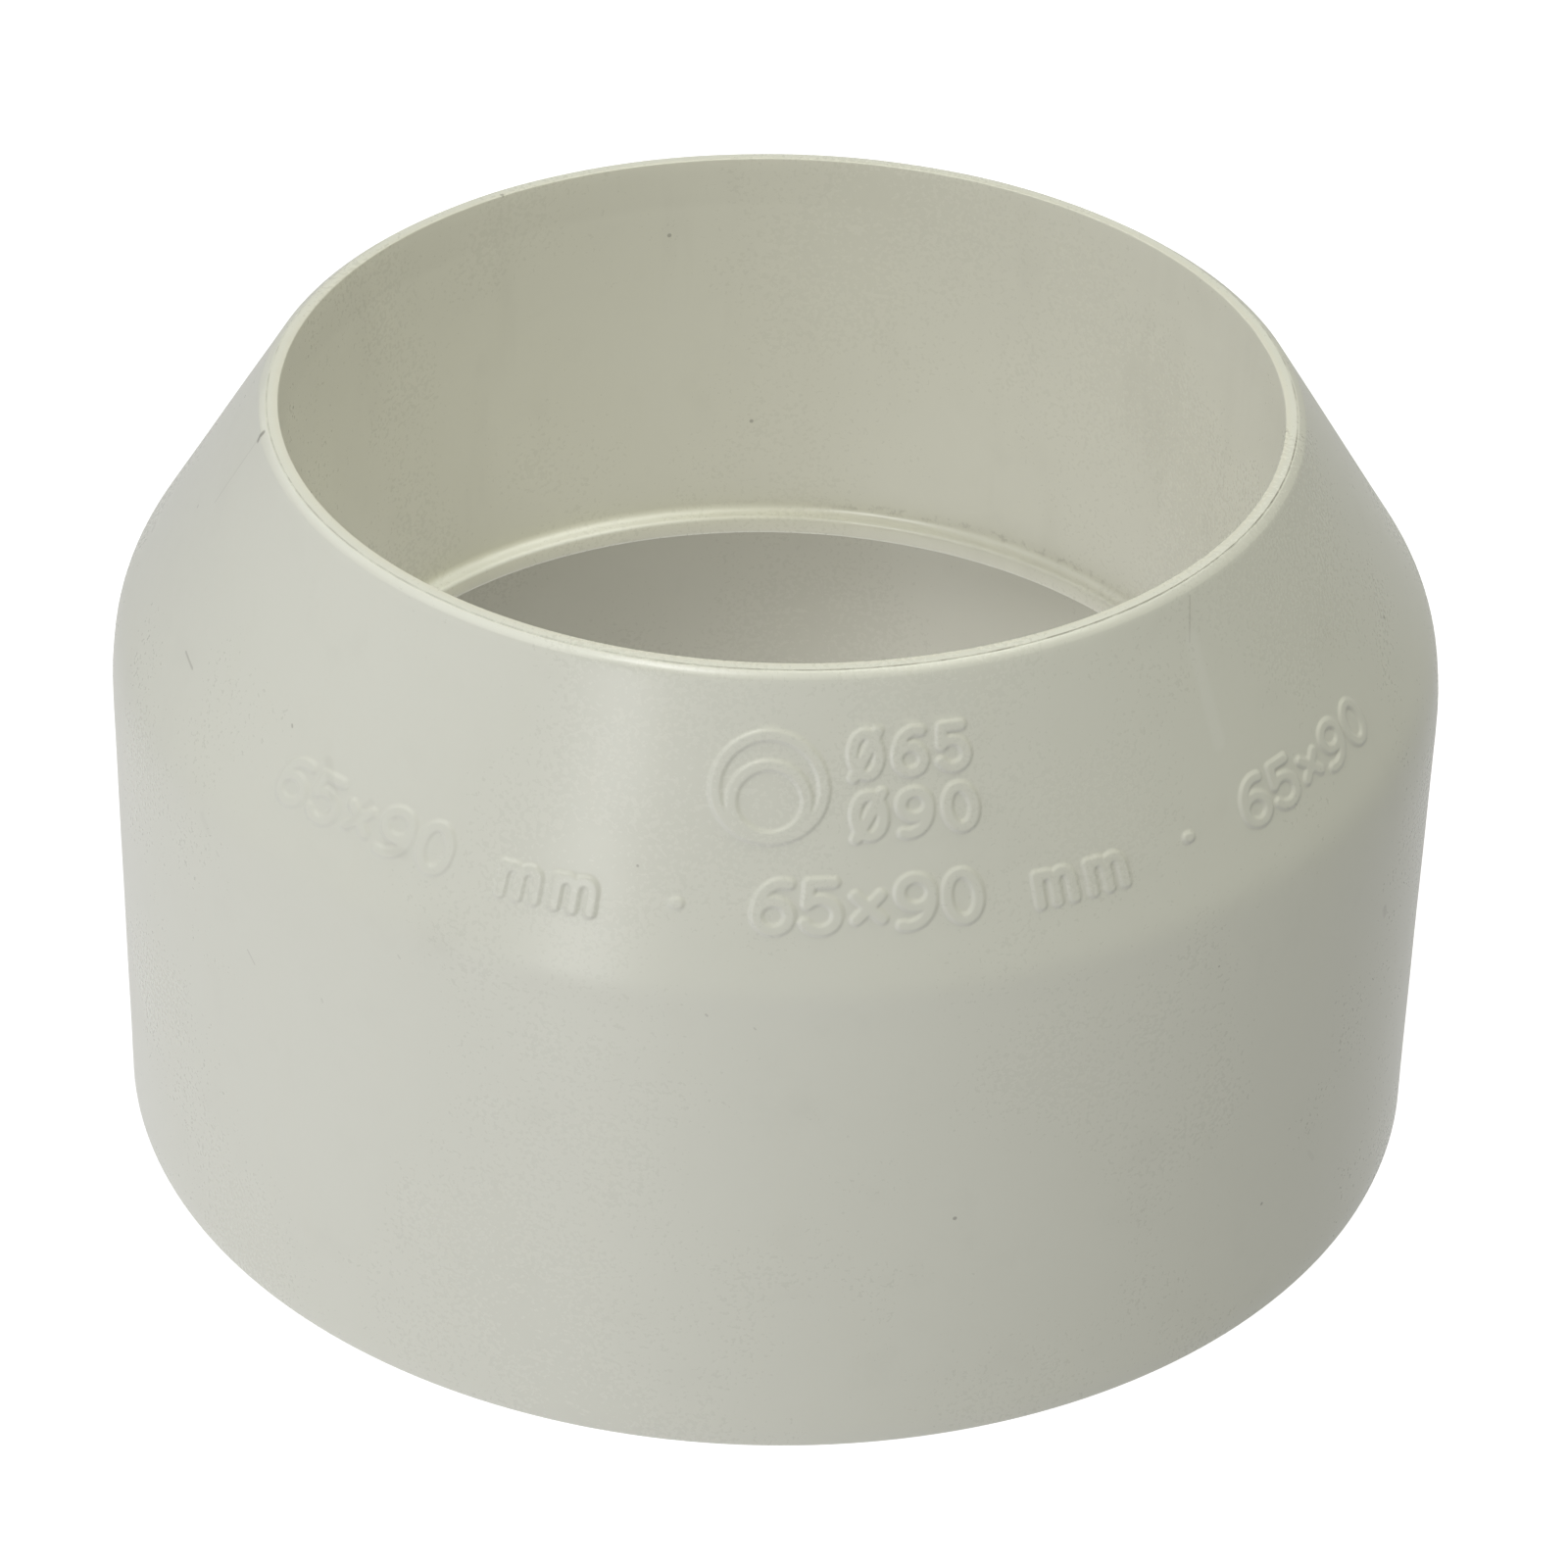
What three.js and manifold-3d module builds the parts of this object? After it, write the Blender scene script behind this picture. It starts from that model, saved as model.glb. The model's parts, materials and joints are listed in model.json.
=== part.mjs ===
// Eccentric reducer for PVC rainwater pipe: one injection moulding, with nothing fitted to it.
//
// A 90 mm pipe pushes up into the wide socket, which is the cylinder at the bottom. A 65 mm
// pipe pushes down into the narrow socket, a sleeve that hangs inside the cone from its rim.
// The sleeve is set so far forward that it runs into the wall there. Elsewhere a gap, open
// below, parts it from the wall and the cone.
//
// Millimetres, +Z up. The origin is on the wide socket's axis, level with its mouth. The
// narrow socket's axis is parallel to it and stands off toward -Y, which is the front.

import * as THREE from 'three';
import { mergeVertices } from 'three/addons/utils/BufferGeometryUtils.js';
import Module from 'manifold-3d';

const wasm = await Module();
wasm.setup();

// ---- driving dimensions ----------------------------------------------------------------

const axisOffset = 8.5; // between the axes of the two sockets

// the wide socket, for 90 mm pipe
const wideBore = 90.6; // diameter
const wideWall = 3.3; // at the mouth
const wideDraft = 0.15; // from the mouth up to the bend, on the outside's radius
const wideDepth = 29.6; // from the mouth to the step that stops the pipe
const wideStep = 1.2; // width of that step
const wideLeadIn = 0.6; // how far the mouth flares, on the radius
const wideLeadInHeight = 4;
const footChamfer = 0.15;

// the cone between the sockets
const bendAboveStep = 8.8; // from the step up to where the lines of wall and cone cross
const bendRadius = 12; // outside
const insideBendRadius = 9;
const coneWall = 2.5; // measured level, at the rim

// the rim at the top of the cone
const rimWidth = 1.15;
const rimRound = 0.6;

// the narrow socket, for 65 mm pipe
const narrowBore = 69.3; // diameter under the lead-in
const narrowLeadIn = 0.2; // how far the rim flares, on the radius
const narrowLeadInHeight = 3.7;
const narrowTaper = 0.15; // from the lead-in down to the ledge, on the radius
const narrowDepth = 30.4; // from the rim to the ledge that stops the pipe
const ledgeWidth = 1.15;
const ledgeHeight = 1.5;
const sleeveWall = 1.85; // at the ledge
const sleeveDraft = 0.2; // how much the sleeve's outside grows toward the top, on the radius
const sleeveChamfer = 0.4;
const gapTipWidth = 1; // of the gap at its two ends, where the sleeve runs into the wall

// how finely the curves are divided
const stepsRound = 96;
const stepsBend = 5;
const stepsRim = 3;

const clear = 2; // how far a cut runs past the face it opens

const plastic = new THREE.MeshStandardMaterial({
  name: 'pvc_cream_grey',
  color: 0xc6c7bb,
  roughness: 0.42,
  metalness: 0,
});

// ---- sizes that follow -----------------------------------------------------------------

// The sleeve's foot is level with the step, so the ledge in it lies just above.
const ledgeTop = wideDepth + ledgeHeight;
const overallHeight = ledgeTop + narrowDepth;
const bendHeight = wideDepth + bendAboveStep;

const footRadius = wideBore / 2 + wideWall;
const wallRadius = footRadius - wideDraft; // at the bend
const stepRadius = wideBore / 2 - wideStep;
const mouthRadius = narrowBore / 2 + narrowLeadIn;
const rootRadius = narrowBore / 2 - narrowTaper;
const rimRadius = mouthRadius + rimWidth; // where the cone's line meets the rim's level
const ledgeRadius = rootRadius - ledgeWidth;
const sleeveRadius = rootRadius + sleeveWall;

// ---- shapes ----------------------------------------------------------------------------

// A point on a level circle. The turn is measured round from the front. The shift is how far
// the circle's centre stands off the wide socket's axis.
function onCircle(radius, height, turn, shift) {
  return new THREE.Vector3(radius * Math.sin(turn), -radius * Math.cos(turn) - shift, height);
}

// The arc that rounds off the corner between the line from a to b and the line from b to c
function roundOff(a, b, c, radius, steps) {
  const along = b.clone().sub(a).normalize();
  const next = c.clone().sub(b).normalize();
  const bend = along.angleTo(next);
  const across = next.addScaledVector(along, -next.dot(along)).normalize();
  const start = b.clone().addScaledVector(along, -radius * Math.tan(bend / 2));
  const points = [];
  for (let i = 0; i <= steps; i += 1) {
    const angle = (bend * i) / steps;
    const point = start.clone().addScaledVector(along, radius * Math.sin(angle));
    points.push(point.addScaledVector(across, radius * (1 - Math.cos(angle))));
  }
  return points;
}

// The outer skin from the middle of the foot to the middle of the rim, at one turn
function skinLine(turn) {
  const foot = onCircle(footRadius, footChamfer, turn, 0);
  const corner = onCircle(wallRadius, bendHeight, turn, 0);
  const edge = onCircle(rimRadius, overallHeight, turn, axisOffset);
  const middle = onCircle(0, overallHeight, turn, axisOffset);
  return [
    onCircle(0, 0, turn, 0),
    onCircle(footRadius - footChamfer, 0, turn, 0),
    foot,
    ...roundOff(foot, corner, edge, bendRadius, stepsBend),
    ...roundOff(corner, edge, middle, rimRound, stepsRim),
    middle,
  ];
}

// The wide socket and the inside of the cone, from below the mouth up to the rim's level, as
// if there were no sleeve
function insideLine(turn) {
  const step = onCircle(stepRadius, wideDepth, turn, 0);
  const corner = onCircle(stepRadius, bendHeight, turn, 0);
  const top = onCircle(rimRadius - coneWall, overallHeight, turn, axisOffset);
  return [
    onCircle(0, -clear, turn, 0),
    onCircle(wideBore / 2 + wideLeadIn, -clear, turn, 0),
    onCircle(wideBore / 2 + wideLeadIn, 0, turn, 0),
    onCircle(wideBore / 2, wideLeadInHeight, turn, 0),
    onCircle(wideBore / 2, wideDepth, turn, 0),
    step,
    ...roundOff(step, corner, top, insideBendRadius, stepsBend),
    top,
    onCircle(0, overallHeight, turn, axisOffset),
  ];
}

// The sleeve, filled in, from its foot to above the rim
function sleeveLine(turn) {
  return [
    onCircle(0, wideDepth, turn, axisOffset),
    onCircle(sleeveRadius - sleeveChamfer, wideDepth, turn, axisOffset),
    onCircle(sleeveRadius, wideDepth + sleeveChamfer, turn, axisOffset),
    onCircle(sleeveRadius + sleeveDraft, overallHeight, turn, axisOffset),
    onCircle(sleeveRadius + sleeveDraft, overallHeight + clear, turn, axisOffset),
    onCircle(0, overallHeight + clear, turn, axisOffset),
  ];
}

// The way through the narrow socket: neck, ledge, bore and lead-in
function boreLine(turn) {
  return [
    onCircle(0, wideDepth - clear, turn, axisOffset),
    onCircle(ledgeRadius, wideDepth - clear, turn, axisOffset),
    onCircle(ledgeRadius, ledgeTop, turn, axisOffset),
    onCircle(rootRadius, ledgeTop, turn, axisOffset),
    onCircle(narrowBore / 2, overallHeight - narrowLeadInHeight, turn, axisOffset),
    onCircle(mouthRadius, overallHeight, turn, axisOffset),
    onCircle(mouthRadius, overallHeight + clear, turn, axisOffset),
    onCircle(0, overallHeight + clear, turn, axisOffset),
  ];
}

// A lathe turns a plain profile, and then each of its points moves to its place on the line.
function turnedGeometry(line) {
  const profile = line(0).map((point) => new THREE.Vector2(Math.abs(point.y), point.z));
  const geometry = new THREE.LatheGeometry(profile, stepsRound);
  const position = geometry.attributes.position;
  for (let i = 0; i <= stepsRound; i += 1) {
    const points = line(2 * Math.PI * ((i % stepsRound) / stepsRound));
    points.forEach(({ x, y, z }, j) => position.setXYZ(i * points.length + j, x, y, z));
  }
  return geometry;
}

// Behind the gap's tips there is gap, and in front of them there is plastic. The tips lie where
// the wall's inside stands off the sleeve by the gap's tip width.
function tipBlockGeometry() {
  const reach = sleeveRadius + gapTipWidth;
  const tip = (reach ** 2 - stepRadius ** 2 - axisOffset ** 2) / (2 * axisOffset);
  const side = 2 * footRadius;
  const geometry = new THREE.BoxGeometry(side, side, overallHeight);
  return geometry.translate(0, tip - side / 2, wideDepth + overallHeight / 2);
}

// ---- the solid -------------------------------------------------------------------------

function solid(geometry) {
  const bare = new THREE.BufferGeometry();
  bare.setAttribute('position', geometry.attributes.position);
  bare.setIndex(geometry.index);
  const merged = mergeVertices(bare);
  const triangles = [];
  for (let i = 0; i < merged.index.count; i += 3) {
    const [a, b, c] = merged.index.array.slice(i, i + 3);
    if (a !== b && b !== c && c !== a) {
      triangles.push(a, b, c);
    }
  }
  const mesh = new wasm.Mesh({
    numProp: 3,
    vertProperties: new Float32Array(merged.attributes.position.array),
    triVerts: new Uint32Array(triangles),
  });
  return new wasm.Manifold(mesh);
}

function meshGeometry(body) {
  const { vertProperties, triVerts } = body.getMesh();
  const geometry = new THREE.BufferGeometry();
  geometry.setAttribute('position', new THREE.BufferAttribute(vertProperties, 3));
  geometry.setIndex(new THREE.BufferAttribute(triVerts, 1));
  geometry.computeVertexNormals();
  return geometry;
}

const skin = solid(turnedGeometry(skinLine));
const inside = solid(turnedGeometry(insideLine));
const sleeve = solid(turnedGeometry(sleeveLine));
const bore = solid(turnedGeometry(boreLine));
const tipBlock = solid(tipBlockGeometry());

const hollow = inside.subtract(sleeve).subtract(tipBlock);
const body = skin.subtract(hollow).subtract(bore);

const reducer = new THREE.Group();
const reducerBody = new THREE.Mesh(meshGeometry(body), plastic);
reducerBody.name = 'reducer_body';
reducer.add(reducerBody);

export default reducer;
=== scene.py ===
# An eccentric reducer in cream-grey PVC, from 90 mm rainwater pipe down to 65 mm pipe. It is a
# single injection moulding, so the file makes one piece, in the order of its surfaces.
# Metres, +Z up. The front is -Y. Turns round the fitting are measured from the front to +X.

import json
import math
import bpy
import bmesh
import numpy as np
from mathutils import Matrix, Vector


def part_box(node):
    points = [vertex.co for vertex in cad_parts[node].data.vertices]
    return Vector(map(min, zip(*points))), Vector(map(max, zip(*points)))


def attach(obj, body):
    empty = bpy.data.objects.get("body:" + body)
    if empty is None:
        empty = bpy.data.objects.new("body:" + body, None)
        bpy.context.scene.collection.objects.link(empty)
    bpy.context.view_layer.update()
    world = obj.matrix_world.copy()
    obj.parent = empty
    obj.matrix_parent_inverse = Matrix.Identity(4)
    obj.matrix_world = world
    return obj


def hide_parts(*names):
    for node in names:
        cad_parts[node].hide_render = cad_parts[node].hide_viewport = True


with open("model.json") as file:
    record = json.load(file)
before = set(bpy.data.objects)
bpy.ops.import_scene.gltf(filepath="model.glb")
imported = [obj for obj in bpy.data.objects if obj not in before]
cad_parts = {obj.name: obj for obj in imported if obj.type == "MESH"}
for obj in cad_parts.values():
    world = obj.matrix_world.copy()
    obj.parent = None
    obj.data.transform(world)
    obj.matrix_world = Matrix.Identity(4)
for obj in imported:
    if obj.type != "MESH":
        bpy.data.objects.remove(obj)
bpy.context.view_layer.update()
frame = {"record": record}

mm = 0.001


# ---- camera ----------------------------------------------------------------------------
# It stands in front of the fitting and looks down on it, so that the far wall of the narrow
# socket shows through the rim.

camera_place = Vector((0, -0.32744, 0.24405))
camera_pitch = 0.59409  # down from level
camera_yaw = 0.0025
camera_roll = 0.02555

camera_data = bpy.data.cameras.new("camera")
camera_data.sensor_width = 36
camera_data.lens = 121.33
camera = bpy.data.objects.new("camera", camera_data)
bpy.context.collection.objects.link(camera)
ahead = Vector((
    math.sin(camera_yaw) * math.cos(camera_pitch),
    math.cos(camera_yaw) * math.cos(camera_pitch),
    -math.sin(camera_pitch),
))
level = Vector((math.cos(camera_yaw), -math.sin(camera_yaw), 0))
over = level.cross(ahead)
right = level * math.cos(camera_roll) + over * math.sin(camera_roll)
up = over * math.cos(camera_roll) - level * math.sin(camera_roll)
facing = Matrix((right, up, -ahead)).transposed().to_4x4()
camera.matrix_world = Matrix.Translation(camera_place) @ facing
bpy.context.scene.camera = camera


# ---- the moulding: outer skin ------------------------------------------------------------
# The wall of the wide socket, the bend and the cone. It is moulded against the cavity half,
# so it is the smooth show side. The cone leans more at the back than at the front, because
# the narrow socket stands off toward the front.

stops = {mount["name"]: mount["pos_m"] for mount in frame["record"]["mounts"]}
foot_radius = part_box("reducer_body")[1].x
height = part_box("reducer_body")[1].z
offset = -stops["narrow_socket_stop"][1]
ledge_height = stops["narrow_socket_stop"][2]
step_height = stops["wide_socket_stop"][2]

foot_round = 0.25 * mm
wall_draft = 0.15 * mm
bend_height = step_height + 8.8 * mm
bend_radius = 12 * mm
rim_radius = 36.0 * mm  # where the cone's line meets the rim's level
wall_radius = foot_radius - wall_draft
sink_depth = 0.07 * mm  # the skin sinks a little under the bend, where the plastic is thick
sink_height = 36.6 * mm
sink_spread = 1.6 * mm
slow_wave = 0.03 * mm
quick_wave = 0.012 * mm

# Points lie on level rings. A ring has a coarse column every one and a half degrees, and
# where the surface carries marks it has fine columns between them.
coarse_count = 240
fine_share = 9
rim_share = 3
row_turns = (-51, 69)  # degrees, a little wider than the row of pipe sizes
sign_turns = (-7.5, 27)
all_columns = np.arange(coarse_count * fine_share)
turn_of = 2 * math.pi * all_columns / len(all_columns)


def between(first, last):
    """Whether each column lies between two turns, in degrees."""
    turn = np.degrees((turn_of + math.pi) % (2 * math.pi) - math.pi)
    return (turn >= first) & (turn <= last)


on_coarse = all_columns % fine_share == 0
coarse = np.flatnonzero(on_coarse)
row_columns = np.flatnonzero(on_coarse | between(*row_turns))
sign_columns = np.flatnonzero(on_coarse | between(*sign_turns))
rim_columns = np.flatnonzero(all_columns % rim_share == 0)

rings = []  # each is (columns, points, whether its edges are sharp)


def add_ring(points, columns=coarse, sharp=False):
    rings.append((columns, points, sharp))


def circle(radius, at_height, turn, shift=0.0):
    """Points of a level circle whose centre stands off the wide socket's axis by shift."""
    return np.stack(np.broadcast_arrays(
        radius * np.sin(turn), -radius * np.cos(turn) - shift, at_height + 0 * turn), axis=-1)


def unit(vectors):
    return vectors / np.linalg.norm(vectors, axis=-1, keepdims=True)


def bend_arc(below, corner, above, radius, steps):
    """Rings of the arc that rounds off the corner between two straight lines."""
    along = unit(corner - below)
    leaving = unit(above - corner)
    cosine = (along * leaving).sum(-1, keepdims=True)
    bend = np.arccos(np.clip(cosine, -1, 1))
    across = unit(leaving - cosine * along)
    start = corner - along * radius * np.tan(bend / 2)
    arc_rings = []
    for i in range(steps + 1):
        angle = bend * i / steps
        arc_rings.append(start + radius * (along * np.sin(angle) + across * (1 - np.cos(angle))))
    return arc_rings


def quarter(steps):
    """Sine, and one less cosine, of angles from nought to a right angle."""
    angles = np.linspace(0, math.pi / 2, steps + 1)
    return list(zip(np.sin(angles), 1 - np.cos(angles)))


def waviness(points):
    """How far the skin stands off its true shape, from uneven shrinking."""
    turn = np.arctan2(points[..., 0], -points[..., 1])
    z = points[..., 2]
    sink = -sink_depth * np.exp(-(((z - sink_height) / sink_spread) ** 2))
    slow = slow_wave * np.sin(3 * turn + 1.1) * np.sin(z / (9 * mm))
    quick = quick_wave * np.sin(11 * turn + z / (3.1 * mm)) * np.sin(z / (5.3 * mm) + 0.7)
    return sink + slow + quick


def uneven(points):
    """Points of the true skin, moved to where the real one is."""
    outward = unit(points * np.array([1, 1, 0]))
    return points + outward * waviness(points)[:, None]


turn = turn_of[coarse]
for sine, rest in quarter(3):
    add_ring(circle(foot_radius - foot_round * (1 - sine), foot_round * rest, turn))

foot_line = circle(foot_radius, foot_round, turn)
corner_line = circle(wall_radius, bend_height, turn)
rim_line = circle(rim_radius, height, turn, offset)
arc = bend_arc(foot_line, corner_line, rim_line, bend_radius, 10)
wall_steps = 22
for i in range(1, wall_steps):
    share = i / wall_steps
    add_ring(uneven(foot_line + (arc[0] - foot_line) * share))
for ring in arc:
    add_ring(uneven(ring))


# ---- the moulding: raised marks ----------------------------------------------------------
# The pipe sizes stand proud of the cone in one level row. Over it is a sign for an eccentric
# reducer, a small circle off centre in a large one, with the two diameters to its right.
# They were cut into the mould with a round-nosed cutter, so strokes have round ends.

mark_relief = 0.14 * mm
mark_half_stroke = 0.30 * mm
mark_edge = 0.2 * mm
row_foot = 43.45 * mm  # height of the row's base line
row_cap = 3.45 * mm  # from the middle of the lowest stroke to the middle of the highest
row_pitch = 3.2 * mm
row_start = -47.0  # degrees
row_text = "65x90 mm . 65x90 mm . 65x90"
sign_foot = 49.9 * mm
sign_start = -5.6  # degrees
sign_middle = 3.9 * mm  # of the circles, from the sign's left end
sign_outer = 3.7 * mm  # radius
sign_inner = 2.55 * mm
sign_text = 9.6 * mm  # where the diameters start
sign_upper_line = 4.45 * mm
sign_lower_line = 0.1 * mm
sign_cap = 2.95 * mm
sign_pitch = 3.1 * mm
row_slant = 4.2 * mm  # height along the cone
sign_slant = 8.1 * mm
wide_letter = 1.22  # pitch of the letter m, as a share of the others'
mark_cell = 0.15 * mm


def arc_strokes(x, y, across, up_down, first, last, steps=14):
    angles = np.radians(np.linspace(first, last, steps + 1))
    return [(x + across * math.cos(a), y + up_down * math.sin(a)) for a in angles]


six = [
    arc_strokes(0.32, 0.31, 0.32, 0.31, 0, 360, 20),
    arc_strokes(0.5, 0.36, 0.5, 0.64, 180, 75, 10),
]
nine = [[(0.64 - x, 1 - y) for x, y in line] for line in six]
five = [[(0.58, 1), (0.1, 1), (0.05, 0.55)], arc_strokes(0.29, 0.33, 0.34, 0.33, 132, -150, 16)]
nought = [arc_strokes(0.32, 0.5, 0.32, 0.5, 0, 360, 24)]
times = [[(0.06, 0.2), (0.56, 0.7)], [(0.06, 0.7), (0.56, 0.2)]]
small_m = [
    [(0, 0), (0, 0.64)],
    arc_strokes(0.18, 0.44, 0.18, 0.2, 180, 0, 8) + [(0.36, 0)],
    arc_strokes(0.54, 0.44, 0.18, 0.2, 180, 0, 8) + [(0.72, 0)],
]
dot = [[(0.28, 0.45), (0.34, 0.45)]]
diameter = nought + [[(0.0, -0.04), (0.64, 1.04)]]
glyphs = {
    "6": six, "9": nine, "5": five, "0": nought,
    "x": times, "m": small_m, ".": dot, "o": diameter,
}


def write(text, cap, pitch, start=(0.0, 0.0)):
    """The strokes of a line of text, as segments, with its base line along x."""
    segments = []
    x = start[0]
    for letter in text:
        for line in glyphs.get(letter, []):
            spots = [(x + cap * a, start[1] + cap * b) for a, b in line]
            segments += list(zip(spots[:-1], spots[1:]))
        x += pitch * (wide_letter if letter == "m" else 1)
    return segments


row_segments = write(row_text, row_cap, row_pitch)
outer_circle = arc_strokes(sign_middle, sign_outer, sign_outer, sign_outer, 0, 360, 40)
inner_middle = sign_inner + 0.2 * mm
inner_circle = arc_strokes(sign_middle, inner_middle, sign_inner, sign_inner, 0, 360, 32)
sign_segments = []
for line in (outer_circle, inner_circle):
    sign_segments += list(zip(line[:-1], line[1:]))
sign_segments += write("o65", sign_cap, sign_pitch, (sign_text, sign_upper_line))
sign_segments += write("o90", sign_cap, sign_pitch, (sign_text, sign_lower_line))


def relief_of(across, upward, segments):
    """How proud the surface stands at each point of the marks' flat layout."""
    nearest = np.full(len(across), 1.0)
    for (x0, y0), (x1, y1) in segments:
        dx, dy = x1 - x0, y1 - y0
        share = ((across - x0) * dx + (upward - y0) * dy) / (dx * dx + dy * dy)
        share = np.clip(share, 0, 1)
        away = np.hypot(across - x0 - share * dx, upward - y0 - share * dy)
        nearest = np.minimum(nearest, away)
    rise = np.clip((mark_half_stroke + mark_edge - nearest) / mark_edge, 0, 1)
    return mark_relief * rise * rise * (3 - 2 * rise)


def cone_radius(at_height):
    share = (at_height - bend_height) / (height - bend_height)
    return wall_radius + (rim_radius - wall_radius) * share


def cone_points(at_height, turn):
    share = (at_height - bend_height) / (height - bend_height)
    return circle(cone_radius(at_height), at_height, turn, offset * share)


def cone_normals(turn):
    tangent = np.stack([np.cos(turn), np.sin(turn), 0 * turn], axis=-1)
    return unit(np.cross(tangent, cone_points(height, turn) - cone_points(bend_height, turn)))


def add_cone_ring(at_height, columns, segments=(), start=0.0, foot=0.0):
    turn = turn_of[columns]
    points = uneven(cone_points(at_height, turn))
    if len(segments):
        signed = (turn + math.pi) % (2 * math.pi) - math.pi
        across = (signed - math.radians(start)) * cone_radius(foot)
        slant = np.linalg.norm(cone_points(height, turn) - cone_points(foot, turn), axis=-1)
        upward = (at_height - foot) / (height - foot) * slant
        points = points + cone_normals(turn) * relief_of(across, upward, segments)[:, None]
    add_ring(points, columns)


cone_rise = 0.86  # height gained along the cone, for the step between fine rings
mark_margin = 0.62 * mm  # of fine rings under the row and under the sign
row_low = row_foot - mark_margin
row_high = row_foot + row_slant * cone_rise + 0.5 * mm
sign_low = sign_foot - mark_margin
sign_high = sign_foot + sign_slant * cone_rise + 0.9 * mm
cone_top = height - 0.6 * mm
plain_gap = 0.3 * mm  # from the last fine ring to the first plain one
# Between the end of the arc, which is not level, and the row, rings come level.
for share in (0.35, 0.7):
    points = arc[-1] + (cone_points(row_low - mark_cell, turn) - arc[-1]) * share
    add_ring(uneven(points))
for at_height in np.arange(row_low, row_high, mark_cell * cone_rise):
    add_cone_ring(at_height, row_columns, row_segments, row_start, row_foot)
for at_height in np.linspace(row_high + plain_gap, sign_low - plain_gap, 3):
    add_cone_ring(at_height, coarse)
for at_height in np.arange(sign_low, sign_high, mark_cell * cone_rise):
    add_cone_ring(at_height, sign_columns, sign_segments, sign_start, sign_foot)
for at_height in np.linspace(sign_high + plain_gap, cone_top - plain_gap, 6):
    add_cone_ring(at_height, coarse)


# ---- the moulding: rim --------------------------------------------------------------------
# A flat land runs round the mouth. Outside it a fine seam, where two parts of the mould meet,
# parts the land from the worn outer edge. A tick on the left and two on the right show where
# the mould's halves join, and the outer edge swells a little next to the left one.

mouth_radius = 34.85 * mm
land_width = 0.78 * mm
seam_width = 0.07 * mm
seam_depth = 0.07 * mm
outer_drop = 0.05 * mm
mouth_round = 0.09 * mm
edge_fullness = 0.12 * mm
swell_size = 0.16 * mm  # of the outer edge next to the left tick
tick_left = math.radians(-79)
seam_radius = mouth_radius + land_width

turn = turn_of[rim_columns]
signed = (turn + math.pi) % (2 * math.pi) - math.pi
wander = 0.02 * mm * np.sin(5 * turn + 0.4) + 0.012 * mm * np.sin(17 * turn)
swell_start = math.radians(-90)
swell = swell_size * np.clip((signed - swell_start) / math.radians(4), 0, 1)
swell = swell * ((signed < tick_left) & (signed > swell_start))
low = cone_points(cone_top, turn)
high = circle(seam_radius + seam_width + wander, height - outer_drop, turn, offset)
at_front = (1 + np.cos(turn)) / 2
elbow = (low + high) / 2 + circle(1.0, 0, turn) * (edge_fullness * at_front + swell)[:, None]
for share in (0, 0.15, 0.32, 0.5, 0.68, 0.85, 1):
    outer_edge = low * (1 - share) ** 2 + elbow * 2 * share * (1 - share) + high * share ** 2
    add_ring(outer_edge, rim_columns)
seam_foot = circle(seam_radius + seam_width / 2 + wander, height - seam_depth, turn, offset)
add_ring(seam_foot, rim_columns, sharp=True)
add_ring(circle(seam_radius + wander, height - 0.01 * mm, turn, offset), rim_columns, sharp=True)
for share in (0.1, 0.5, 0.9):
    radius = seam_radius - (land_width - mouth_round) * share + wander * (1 - share)
    sag = 0.004 * mm * math.sin(math.pi * share)
    add_ring(circle(radius, height - sag, turn, offset), rim_columns)
for sine, rest in quarter(3):
    radius = mouth_radius + mouth_round * (1 - sine)
    add_ring(circle(radius, height - mouth_round * rest, turn, offset), rim_columns)


# ---- the moulding: narrow socket ------------------------------------------------------------
# The core that makes the bore has a short lead-in at the mouth and draws in slightly to the
# ledge that stops the pipe. Through the ledge is the neck.

bore_radius = 34.65 * mm
lead_in_height = 3.7 * mm
root_radius = 34.5 * mm
ledge_radius = 33.35 * mm
ledge_round = 0.3 * mm
corner_round = 0.7 * mm

turn = turn_of[coarse]
mouth_bottom = height - mouth_round
lead_in_bottom = height - lead_in_height
for share in (0.3, 0.65, 1):
    add_ring(circle(
        mouth_radius + (bore_radius - mouth_radius) * share,
        mouth_bottom + (lead_in_bottom - mouth_bottom) * share, turn, offset))
root_top = ledge_height + corner_round
for share in np.linspace(0.02, 1, 16):
    add_ring(circle(
        bore_radius + (root_radius - bore_radius) * share,
        lead_in_bottom + (root_top - lead_in_bottom) * share, turn, offset))
for sine, rest in quarter(6)[1:]:
    radius = root_radius - corner_round * rest
    add_ring(circle(radius, root_top - corner_round * sine, turn, offset))
for sine, rest in quarter(3):
    radius = ledge_radius + ledge_round * (1 - sine)
    add_ring(circle(radius, ledge_height - ledge_round * rest, turn, offset))
for sine, rest in quarter(3):
    radius = ledge_radius + ledge_round * rest
    add_ring(circle(radius, step_height + ledge_round * (1 - sine), turn, offset))


# ---- the moulding: gap and wide socket ------------------------------------------------------
# A core reaches up between sleeve and cone and leaves the deep gap. At the front it would be
# too thin to last, so there the sleeve and the wall are one. Below the gap is the step that
# stops the wide pipe, then the wide bore and its lead-in.

wide_bore_radius = 45.3 * mm
step_radius = 44.1 * mm
sleeve_radius = 36.35 * mm
sleeve_draft = 0.2 * mm
sleeve_chamfer = 0.4 * mm
gap_tip_width = 1 * mm
gap_top_width = 0.25 * mm
inside_top_radius = 33.5 * mm  # of the cone's inside, where it would meet the rim's level
inside_bend_reach = 3 * mm
wide_lead_in = 0.6 * mm
wide_lead_in_height = 4 * mm


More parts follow.
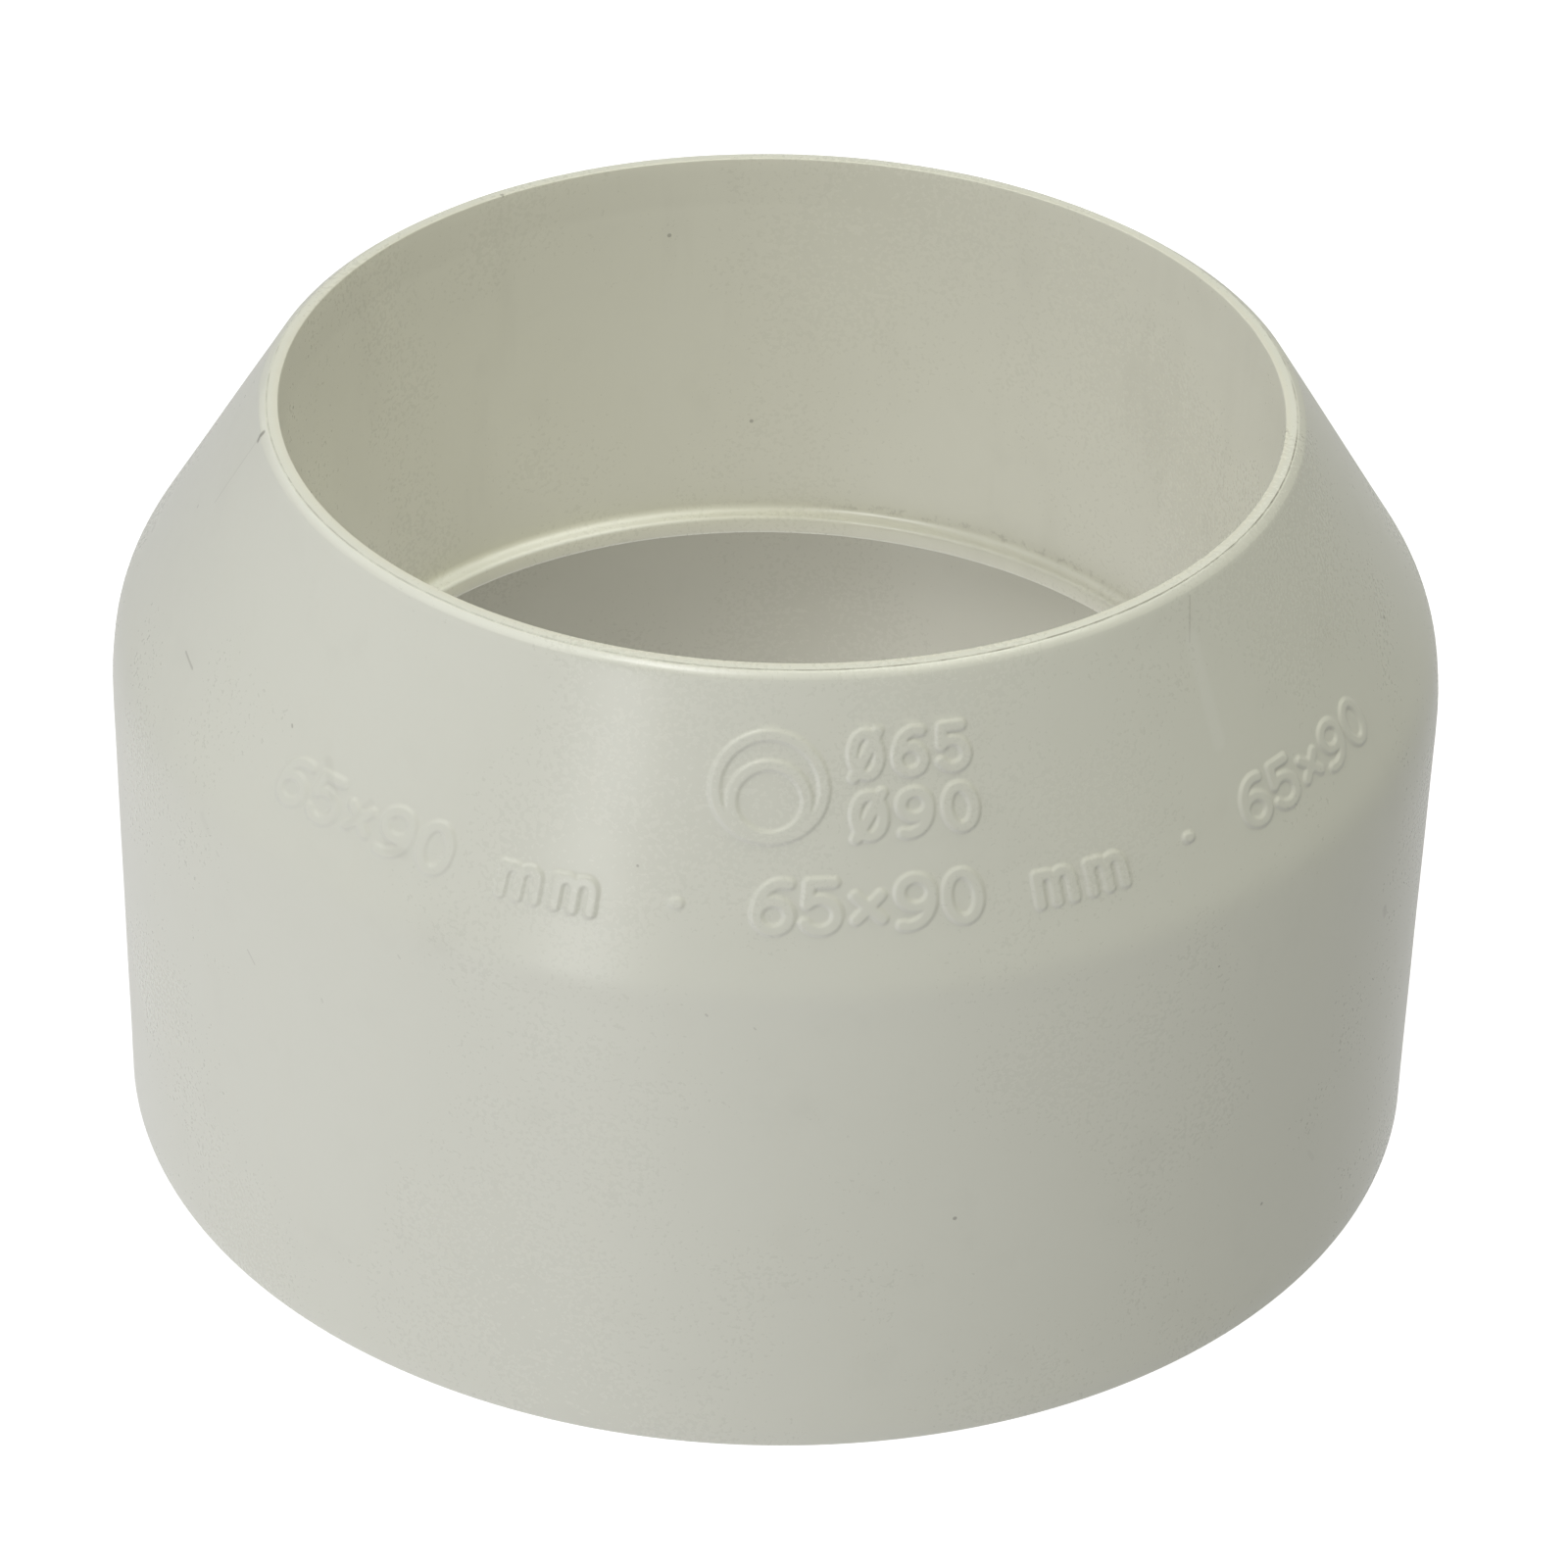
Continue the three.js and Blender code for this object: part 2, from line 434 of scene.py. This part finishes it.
def inside_reach(at_height, turn):
    """How far the inside of wall and cone stands from the narrow axis."""
    rise = at_height - bend_height
    in_bend = np.clip(rise + inside_bend_reach, 0, None) ** 2 / (4 * inside_bend_reach)
    share = np.where(rise > inside_bend_reach, rise, in_bend) / (height - bend_height)
    radius = step_radius + (inside_top_radius - step_radius) * share
    apart = offset * (1 - share)
    return np.sqrt(radius ** 2 - (apart * np.sin(turn)) ** 2) - apart * np.cos(turn)


def sleeve_at(at_height):
    return sleeve_radius + sleeve_draft * (at_height - step_height) / (height - step_height)


open_gap = inside_reach(step_height, turn) - sleeve_radius > gap_tip_width
low_guess = np.full(len(turn), bend_height)
high_guess = np.full(len(turn), height)
for i in range(40):
    middle = (low_guess + high_guess) / 2
    clear_of_sleeve = inside_reach(middle, turn) > sleeve_at(middle) + gap_top_width
    low_guess = np.where(clear_of_sleeve, middle, low_guess)
    high_guess = np.where(clear_of_sleeve, high_guess, middle)
gap_top = low_guess

closed_reach = inside_reach(step_height, turn)
shut_radius = np.minimum(sleeve_radius, closed_reach)
foot_edge = np.where(open_gap, sleeve_radius - sleeve_chamfer, shut_radius - 0.6 * mm)
add_ring(circle(foot_edge, step_height, turn, offset), sharp=True)
closed_edge = shut_radius - 0.3 * mm
for share in (0, 0.1, 0.3, 0.5, 0.7, 0.9, 1):
    start = step_height + sleeve_chamfer
    at_height = start + (gap_top - start) * share
    points = circle(sleeve_at(at_height), at_height, turn, offset)
    shut = circle(closed_edge, step_height, turn, offset)
    add_ring(np.where(open_gap[:, None], points, shut), sharp=share in (0, 1))
for share in (1, 0.9, 0.75, 0.6, 0.45, 0.3, 0.2, 0.1, 0):
    at_height = step_height + (gap_top - step_height) * share
    points = circle(inside_reach(at_height, turn), at_height, turn, offset)
    shut = circle(closed_reach, step_height, turn, offset)
    add_ring(np.where(open_gap[:, None], points, shut), sharp=share in (0, 1))

# Columns of the gap aim at the narrow axis and those of the foot at the wide one. The bore
# turns the one gradually into the other.
gap_line = circle(closed_reach, step_height, turn, offset)
gap_turn = np.unwrap(np.arctan2(gap_line[:, 0], -gap_line[:, 1]))
gap_turn = gap_turn - 2 * math.pi * np.round((gap_turn - turn) / (2 * math.pi))
bore_steps = 10
for i in range(bore_steps + 1):
    share = i / bore_steps
    at_height = step_height + (wide_lead_in_height - step_height) * share
    bore_turn = gap_turn + (turn - gap_turn) * share
    add_ring(circle(wide_bore_radius, at_height, bore_turn), sharp=i in (0, bore_steps))
add_ring(circle(wide_bore_radius + wide_lead_in, 0, turn), sharp=True)

# Every two neighbouring rings are joined by faces between the columns that both have, and the
# last ring is joined to the first, across the foot.
counts = [len(columns) for columns, points, sharp in rings]
first_of = np.cumsum([0] + counts)
faces = []
for i in range(len(rings)):
    j = (i + 1) % len(rings)
    lower, upper = rings[i][0], rings[j][0]
    shared = np.intersect1d(lower, upper)
    at_lower, at_upper = np.searchsorted(lower, shared), np.searchsorted(upper, shared)
    for k in range(len(shared)):
        a, b = at_lower[k], at_lower[(k + 1) % len(shared)]
        c, d = at_upper[k], at_upper[(k + 1) % len(shared)]
        b = b if b > a else b + len(lower)
        d = d if d > c else d + len(upper)
        loop = [first_of[i] + n % len(lower) for n in range(a, b + 1)]
        loop += [first_of[j] + n % len(upper) for n in range(d, c - 1, -1)]
        faces.append(loop)

mesh = bpy.data.meshes.new("reducer_moulding")
mesh.from_pydata(np.concatenate([points for columns, points, sharp in rings]), [], faces)
ring_of = np.repeat(np.arange(len(rings)), counts).astype(np.int32)
mesh.attributes.new("ring", "INT", "POINT").data.foreach_set("value", ring_of)
shape = bmesh.new()
shape.from_mesh(mesh)
bmesh.ops.remove_doubles(shape, verts=shape.verts, dist=1e-7)
ring_layer = shape.verts.layers.int["ring"]
for edge in shape.edges:
    a, b = edge.verts
    edge.smooth = not (a[ring_layer] == b[ring_layer] and rings[a[ring_layer]][2])
for face in shape.faces:
    face.smooth = True
shape.to_mesh(mesh)
shape.free()
moulding = bpy.data.objects.new("reducer_moulding", mesh)
bpy.context.collection.objects.link(moulding)


# ---- the moulding: plastic ------------------------------------------------------------------
# Rigid PVC, filled with chalk and tinted cream grey. It is satin where it is new. It has dust
# in its corners, a few dark specks from the melt, and scuffs from lying among other fittings.
# Warm bounce light inside the sockets, and light and shade on the ledge and in the lead-in,
# are painted into its colour.

class Tone:
    """A socket of the material's nodes. Sums on values add Math nodes."""

    tree = None

    def __init__(self, socket):
        self.socket = socket

    @classmethod
    def node(cls, kind, settings=None, sockets=None, output=0):
        """Any node, from its type, its settings and its sockets' values or links."""
        made = cls.tree.nodes.new(kind)
        for name, value in (settings or {}).items():
            if name == "stops":
                while len(made.color_ramp.elements) < len(value):
                    made.color_ramp.elements.new(0.5)
                for element, (place, colour) in zip(made.color_ramp.elements, value):
                    element.position = place
                    element.color = colour
            else:
                setattr(made, name, value)
        for name, value in (sockets or {}).items():
            if isinstance(value, Tone):
                cls.tree.links.new(value.socket, made.inputs[name])
            else:
                made.inputs[name].default_value = value
        return cls(made.outputs[output])

    def math(self, operation, *others):
        values = dict(enumerate((self,) + others))
        return Tone.node("ShaderNodeMath", {"operation": operation}, values)

    def __add__(self, other):
        return self.math("ADD", other)

    def __sub__(self, other):
        return self.math("SUBTRACT", other)

    def __mul__(self, other):
        return self.math("MULTIPLY", other)

    __radd__ = __add__
    __rmul__ = __mul__

    def ramp(self, low, high):
        """From 0 at low to 1 at high, with eased ends."""
        return Tone.node("ShaderNodeMapRange", {"interpolation_type": "SMOOTHSTEP"}, {
            "Value": self, "From Min": low, "From Max": high})

    def band(self, middle, half):
        """1 at the middle, falling to 0 at half on either side."""
        return (self - middle).math("ABSOLUTE").ramp(half, half * 0.3)

    def blend(self, other, share):
        """This colour turned toward another by a share."""
        return Tone.node("ShaderNodeMix", {"data_type": "RGBA"}, {0: share, 6: self, 7: other}, 2)

    def vector(self, operation, other, output=0):
        sockets = {0: self, 1: other}
        return Tone.node("ShaderNodeVectorMath", {"operation": operation}, sockets, output)


def noise(place, size, detail=2.0, roughness=0.5, stretch=None):
    """Noise from 0 to 1 whose blots are about size across."""
    if stretch:
        place = place.vector("MULTIPLY", stretch)
    return Tone.node("ShaderNodeTexNoise", {}, {
        "Vector": place, "Scale": 1 / size, "Detail": detail, "Roughness": roughness})


def near_line(place, start, end, half):
    """1 close to the straight line between two points, 0 beyond half from it."""
    start, end = Vector(start), Vector(end)
    along = end - start
    away = place.vector("SUBTRACT", start)
    share = away.vector("DOT_PRODUCT", along / along.length_squared, 1)
    share = share.math("MAXIMUM", 0.0).math("MINIMUM", 1.0)
    spot = Tone.node("ShaderNodeVectorMath", {"operation": "SCALE"}, {0: along, "Scale": share})
    return away.vector("SUBTRACT", spot).vector("LENGTH", (0, 0, 0), 1).ramp(half, half * 0.35)


def on_cone(degrees, at_height):
    return cone_points(at_height, np.radians(degrees))


def on_rim(degrees, radius, below):
    return circle(radius, height - below, np.radians(degrees), offset)


def on_wall(degrees, at_height):
    radius = foot_radius - wall_draft * at_height / bend_height
    return circle(radius, at_height, np.radians(degrees))


plastic = bpy.data.materials.new("cream_grey_pvc")
plastic.use_nodes = True
Tone.tree = plastic.node_tree
shader = plastic.node_tree.nodes["Principled BSDF"]

cream = (0.640, 0.640, 0.566, 1)
warmer = (0.640, 0.628, 0.535, 1)
paler = (0.72, 0.72, 0.66, 1)
# This dark serves for dust, and also for painted shade in the lead-in and on the right of the
# ledge's face.
dust_and_shade = (0.20, 0.185, 0.15, 1)
char = (0.12, 0.105, 0.08, 1)

place = Tone.node("ShaderNodeTexCoord", output="Object")
x = Tone.node("ShaderNodeSeparateXYZ", sockets={0: place}, output="X")
y = Tone.node("ShaderNodeSeparateXYZ", sockets={0: place}, output="Y")
z = Tone.node("ShaderNodeSeparateXYZ", sockets={0: place}, output="Z")
from_axis = (x * x + (y + offset) * (y + offset)).math("SQRT")

clouds = noise(place, 22 * mm, 3.0, 0.55)
blotches = noise(place, 4 * mm, 2.0, 0.5)
grain = noise(place, 0.35 * mm, 3.0, 0.6)
flow = noise(place, 3 * mm, 3.0, 0.6, (1, 1, 0.12))

from_middle = (x * x + y * y).math("SQRT")
# Inside both sockets the colour turns warmer. This is painted light: the warm glow of light
# bouncing round inside them.
sleeve_side = from_axis.ramp(35.4 * mm, 35.0 * mm)
wide_side = from_middle.ramp(46.6 * mm, 46.2 * mm) * z.ramp(33 * mm, 30 * mm)
colour = Tone.node("ShaderNodeMix", {"data_type": "RGBA"}, {
    0: sleeve_side.math("MAXIMUM", wide_side * 1.3) * 0.7, 6: cream, 7: warmer}, 2)
colour = colour.blend(paler, (clouds - 0.42).ramp(0.0, 0.3) * 0.10)
colour = colour.blend(warmer, (flow - 0.5).ramp(0.0, 0.3) * 0.15)
colour = colour.blend(dust_and_shade, (blotches - 0.55).ramp(0.0, 0.35) * 0.035)
colour = colour.blend(dust_and_shade, (grain - 0.5).ramp(0.0, 0.4) * 0.02)

# a dark line along the rim's seam, broken up and darker toward the right, and dust in the corner
# over the ledge
broken = noise(place, 1.6 * mm, 3.0, 0.7)
seam = from_axis.band(seam_radius + seam_width / 2, 0.085 * mm)
seam = seam * z.ramp(height - 0.4 * mm, height - 0.2 * mm)
seam = seam * (broken.ramp(0.36, 0.62) * 0.45 + 0.12)
seam = seam * (x.ramp(-20 * mm, 25 * mm) * 0.5 + 0.5)
colour = colour.blend(dust_and_shade, seam)
ledge_corner = from_axis.band(root_radius, 0.35 * mm)
ledge_corner = ledge_corner * z.band(ledge_height + 0.75 * mm, 0.5 * mm)
crumbs = noise(place, 0.7 * mm, 3.0, 0.7).ramp(0.52, 0.66) * x.ramp(-12 * mm, 8 * mm)
colour = colour.blend(dust_and_shade, ledge_corner * crumbs * 0.24)

# the ledge's face, with painted light on the left and painted shade on the right
ledge_face_light_and_shade = z.ramp(ledge_height + 0.5 * mm, ledge_height)
ledge_face_light_and_shade = ledge_face_light_and_shade * z.ramp(ledge_height - 0.4 * mm, ledge_height - 0.1 * mm)
ledge_face_light_and_shade = ledge_face_light_and_shade * from_axis.ramp(34.6 * mm, 34.4 * mm)
colour = colour.blend(paler, ledge_face_light_and_shade * x.ramp(0.0, -18 * mm))
colour = colour.blend(dust_and_shade, ledge_face_light_and_shade * x.ramp(-8 * mm, 8 * mm) * 0.1)

# painted shade in the lead-in: it is darker than the bore under it, and darkest on the left
lead_in_shade = sleeve_side * z.ramp(lead_in_bottom - 0.4 * mm, lead_in_bottom + 0.5 * mm)
lead_in_shade = lead_in_shade * z.ramp(height - 0.03 * mm, height - 0.12 * mm)
colour = colour.blend(dust_and_shade, lead_in_shade * (x.ramp(20 * mm, -20 * mm) * 0.05 + 0.015))

# grime in soft smudges on the skin, and runs down the bore
smudges = noise(place, 9 * mm, 4.0, 0.65).ramp(0.55, 0.75)
colour = colour.blend(dust_and_shade, smudges * 0.035)
runs = noise(place, 5 * mm, 3.0, 0.6, (1, 1, 0.25)).ramp(0.55, 0.75) * sleeve_side
colour = colour.blend(dust_and_shade, runs * 0.04)

# dark specks in the melt
cells = Tone.node("ShaderNodeTexVoronoi", {"feature": "F1"}, {
    "Vector": place, "Scale": 1 / (5 * mm)}, "Distance")
speck_size = noise(place, 7 * mm, 0.0).ramp(0.52, 0.7) * 0.035
specks = (speck_size - cells).ramp(-0.004, 0.006)
colour = colour.blend(char, specks * 0.5)

# the mould's joint on the left, the ticks on the rim, scuffs and single specks. Each mark is
# half its width, how dark it is, and its two ends.
joint_line = near_line(place, on_cone(-78.7, 61.0 * mm), on_cone(-79.1, 54.3 * mm), 0.13 * mm)
colour = colour.blend(dust_and_shade, joint_line * 0.14)
colour = colour.blend(char, near_line(
    place, on_rim(-79, 36.1 * mm, 0.3 * mm), on_rim(-79, 36.4 * mm, 0.9 * mm), 0.3 * mm) * 0.6)
for half_width, shade, start, end in (
    (0.12 * mm, 0.55, on_rim(83.6, 34.8 * mm, 0.0), on_rim(83.6, 36.2 * mm, 0.4 * mm)),
    (0.10 * mm, 0.3, on_rim(80.8, 34.8 * mm, 0.0), on_rim(80.8, 36.2 * mm, 0.4 * mm)),
    # on the cone, from the right round to the left
    (0.10 * mm, 0.3, on_cone(47.9, 60.6 * mm), on_cone(45.6, 57.7 * mm)),
    (0.16 * mm, 0.35, on_cone(-33.1, 44.0 * mm), on_cone(-32.9, 43.9 * mm)),
    (0.7 * mm, 0.07, on_cone(-33.9, 44.0 * mm), on_cone(-32.4, 43.9 * mm)),
    (0.4 * mm, 0.06, on_cone(-38.6, 44.0 * mm), on_cone(-37.0, 46.4 * mm)),
    (0.6 * mm, 0.07, on_cone(-42.9, 47.6 * mm), on_cone(-40.9, 45.6 * mm)),
    (0.14 * mm, 0.5, on_cone(-48.6, 48.4 * mm), on_cone(-48.5, 48.3 * mm)),
    (0.16 * mm, 0.4, on_cone(-67.2, 46.2 * mm), on_cone(-64.8, 45.9 * mm)),
    (0.13 * mm, 0.5, on_cone(-82.8, 52.1 * mm), on_cone(-82.7, 52.0 * mm)),
    # on the wall, in the same order
    (0.45 * mm, 0.25, on_wall(64.0, 27.8 * mm), on_wall(64.3, 27.2 * mm)),
    (0.3 * mm, 0.08, on_wall(53.2, 11.9 * mm), on_wall(54.0, 10.9 * mm)),
    (0.14 * mm, 0.4, on_wall(-1.0, 36.1 * mm), on_wall(-0.9, 36.0 * mm)),
    (0.16 * mm, 0.4, on_wall(-4.8, 37.0 * mm), on_wall(-4.7, 36.9 * mm)),
    (0.12 * mm, 0.22, on_wall(-30.8, 36.4 * mm), on_wall(-30.6, 36.2 * mm)),
    (0.12 * mm, 0.18, on_wall(-38.8, 29.8 * mm), on_wall(-38.7, 29.6 * mm)),
    (0.10 * mm, 0.22, on_wall(-47.8, 30.0 * mm), on_wall(-46.9, 29.2 * mm)),
    (0.12 * mm, 0.2, on_wall(-51.8, 36.3 * mm), on_wall(-51.6, 36.1 * mm)),
    (0.5 * mm, 0.06, on_wall(-54.2, 38.2 * mm), on_wall(-53.2, 37.4 * mm)),
    (0.12 * mm, 0.18, on_wall(-61.7, 15.9 * mm), on_wall(-61.6, 15.6 * mm)),
):
    colour = colour.blend(dust_and_shade, near_line(place, start, end, half_width) * shade)
streak = near_line(place, on_cone(46, 57.9 * mm), on_cone(44.7, 50.2 * mm), 0.8 * mm)
colour = colour.blend(paler, streak * 0.3)

scuffs = noise(place, 1.1 * mm, 4.0, 0.7, (0.25, 1, 1))
scuffed = scuffs.ramp(0.6, 0.8)
roughness = 0.22 + clouds * 0.07 + grain * 0.05 + scuffed * 0.10
skin_height = grain * 0.005 * mm + blotches * 0.02 * mm + flow * 0.012 * mm
bump = Tone.node("ShaderNodeBump", {}, {"Height": skin_height, "Distance": 1.0, "Strength": 1.0})
plastic.node_tree.links.new(colour.socket, shader.inputs["Base Color"])
plastic.node_tree.links.new(roughness.socket, shader.inputs["Roughness"])
plastic.node_tree.links.new(bump.socket, shader.inputs["Normal"])
shader.inputs["IOR"].default_value = 1.53

mesh.materials.append(plastic)
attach(moulding, "root")
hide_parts("reducer_body")


# ---- floor and lamps ------------------------------------------------------------------------
# The fitting stands on a wide white sweep, which glows as a light table does and curves up all
# round into a white wall. The room's light comes up through the table as well. The fitting is
# lit softly from all sides, and most from the left.

floor_reach = 6.0
sweep_round = 2.0
sweep_turns = 64
wall_top = 9.0
sweep_line = [(mm, 0.0), (floor_reach, 0.0)]
sweep_line += [
    (floor_reach + sweep_round * math.sin(a), sweep_round * (1 - math.cos(a)))
    for a in np.linspace(0.1, math.pi / 2, 12)]
sweep_line += [(floor_reach + sweep_round, wall_top)]
sweep_points = []
for radius, at_height in sweep_line:
    round_turn = np.linspace(0, 2 * math.pi, sweep_turns + 1)[:-1]
    sweep_points += circle(radius, at_height, round_turn).tolist()
sweep_faces = []
for i in range(len(sweep_line) - 1):
    for k in range(sweep_turns):
        a, b = i * sweep_turns + k, i * sweep_turns + (k + 1) % sweep_turns
        sweep_faces.append((a, a + sweep_turns, b + sweep_turns, b))
sweep_mesh = bpy.data.meshes.new("floor")
sweep_mesh.from_pydata(sweep_points, [], sweep_faces + [tuple(range(sweep_turns))])
sweep_mesh.shade_smooth()
floor = bpy.data.objects.new("floor", sweep_mesh)
bpy.context.collection.objects.link(floor)
floor.visible_diffuse = False
floor.visible_shadow = False
floor.visible_glossy = False
white = bpy.data.materials.new("white_sweep")
white.use_nodes = True
table = white.node_tree.nodes["Principled BSDF"]
table.inputs["Base Color"].default_value = (0.25, 0.25, 0.25, 1)
table.inputs["Roughness"].default_value = 0.9
table.inputs["Specular IOR Level"].default_value = 0.0
table.inputs["Emission Color"].default_value = (1, 1, 1, 1)
table.inputs["Emission Strength"].default_value = 0.94
sweep_mesh.materials.append(white)

world = bpy.data.worlds.new("world")
bpy.context.scene.world = world
world.use_nodes = True
Tone.tree = world.node_tree
toward_sky = Tone.node("ShaderNodeTexCoord", output="Generated")


def glow(azimuth, elevation, strength, sharpness=3.0):
    """Soft light from one side of the room. The azimuth is measured from the front to +X."""
    a, e = math.radians(azimuth), math.radians(elevation)
    toward = (math.sin(a) * math.cos(e), -math.cos(a) * math.cos(e), math.sin(e))
    facing = toward_sky.vector("DOT_PRODUCT", toward, 1).math("MAXIMUM", 0.0)
    return facing.math("POWER", sharpness) * strength


# The room is brightest below the table and to the left, and has one small bright panel low
# at the front left, which shows as a soft spot on the cone.
room_light = glow(0, -90, 1.18) + glow(0, -30, 0.32) + glow(-45, -30, 0.32)
room_light = room_light + glow(-90, -30, 0.46) + glow(90, -30, 0.15) + glow(180, -30, 0.57)
room_light = room_light + glow(-30, -17, 6.5, 250.0) + glow(-30, -28, 0.8, 60.0)
background = world.node_tree.nodes["Background"]
background.inputs["Color"].default_value = (1, 1, 1, 1)
world.node_tree.links.new(room_light.socket, background.inputs["Strength"])


def lamp(name, azimuth, elevation, size, power, distance=1.2):
    """A square lamp that faces the fitting. The azimuth is measured from the front to +X."""
    data = bpy.data.lights.new(name, "AREA")
    data.size = size
    data.energy = power
    made = bpy.data.objects.new(name, data)
    bpy.context.collection.objects.link(made)
    a, e = math.radians(azimuth), math.radians(elevation)
    toward = Vector((math.sin(a) * math.cos(e), -math.cos(a) * math.cos(e), math.sin(e)))
    made.location = toward * distance + Vector((0, 0, height / 2))
    made.rotation_euler = toward.to_track_quat("Z", "Y").to_euler()
    return data


lamp("front softbox", -25, 45, 0.35, 3.6)
lamp("left softbox", -60, 38, 1.0, 4.6).color = (0.96, 0.98, 1)
lamp("back left softbox", -120, 38, 1.0, 3.3)
lamp("right softbox", 60, 65, 1.0, 8.4).color = (0.99, 1, 0.85)
lamp("back right softbox", 120, 65, 1.0, 3.9)

bpy.context.scene.view_settings.view_transform = "Standard"
